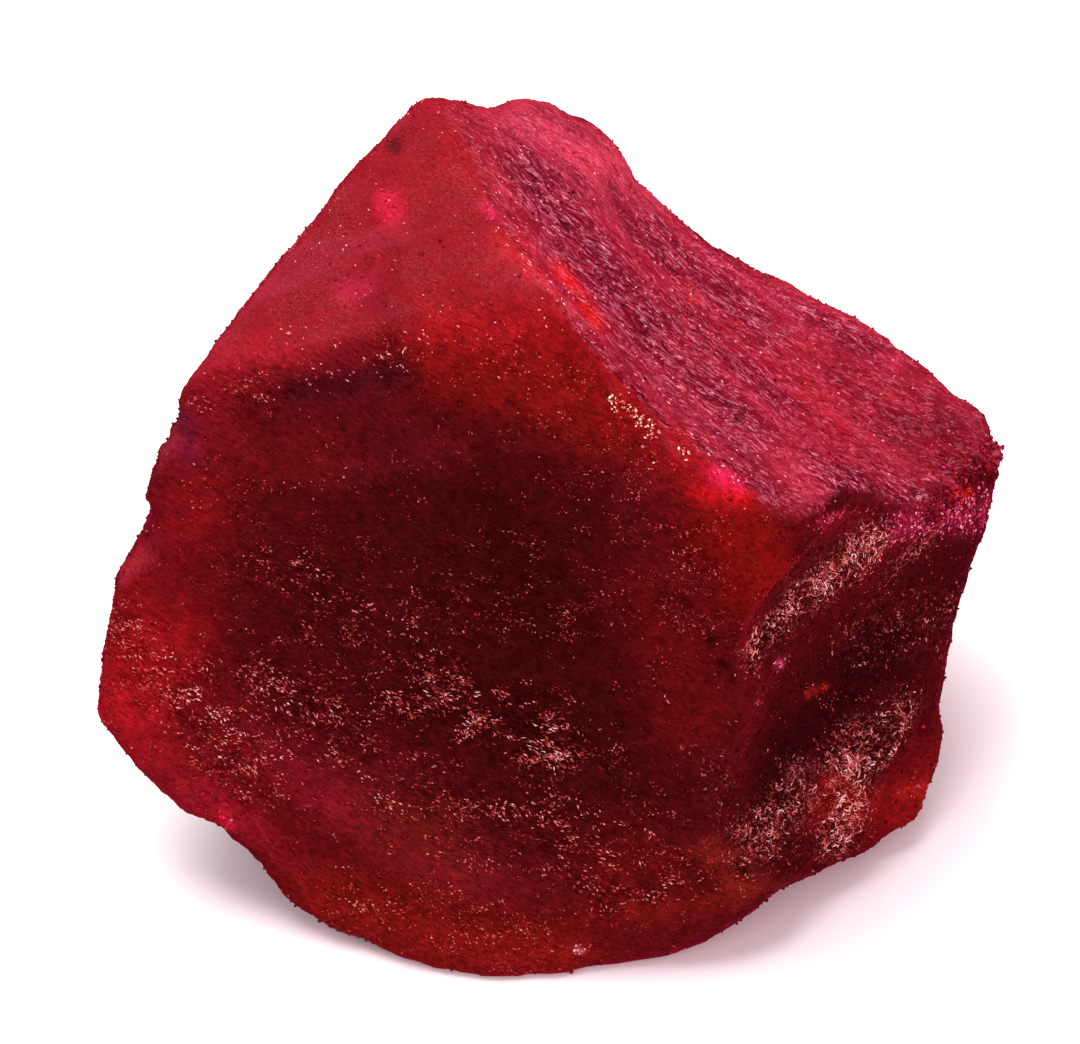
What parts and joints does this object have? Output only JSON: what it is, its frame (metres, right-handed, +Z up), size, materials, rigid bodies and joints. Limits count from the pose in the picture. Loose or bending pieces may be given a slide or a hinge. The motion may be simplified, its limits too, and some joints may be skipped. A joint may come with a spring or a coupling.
{
  "type": "raw ruby crystal",
  "caption": "Rough blocky ruby crystal with a streaked sloping face, a granular front break and a ledged side; rests on a flat underside.",
  "frame": {"origin": "middle of the outer box, at the height of the flat underside that the stone rests on", "axes": "+X to the stone's right seen from its broad front break, +Y to the back, +Z up; the long streaked slope faces +X and +Z"},
  "size_m": [0.041, 0.03, 0.0329],
  "materials": {
    "raw_ruby": "rough broken corundum: dark cherry red and slightly translucent, with pink haze and small bright grain glints"
  },
  "bodies": {
    "root": {"ruby_crystal": "raw_ruby"}
  },
  "joints": []
}
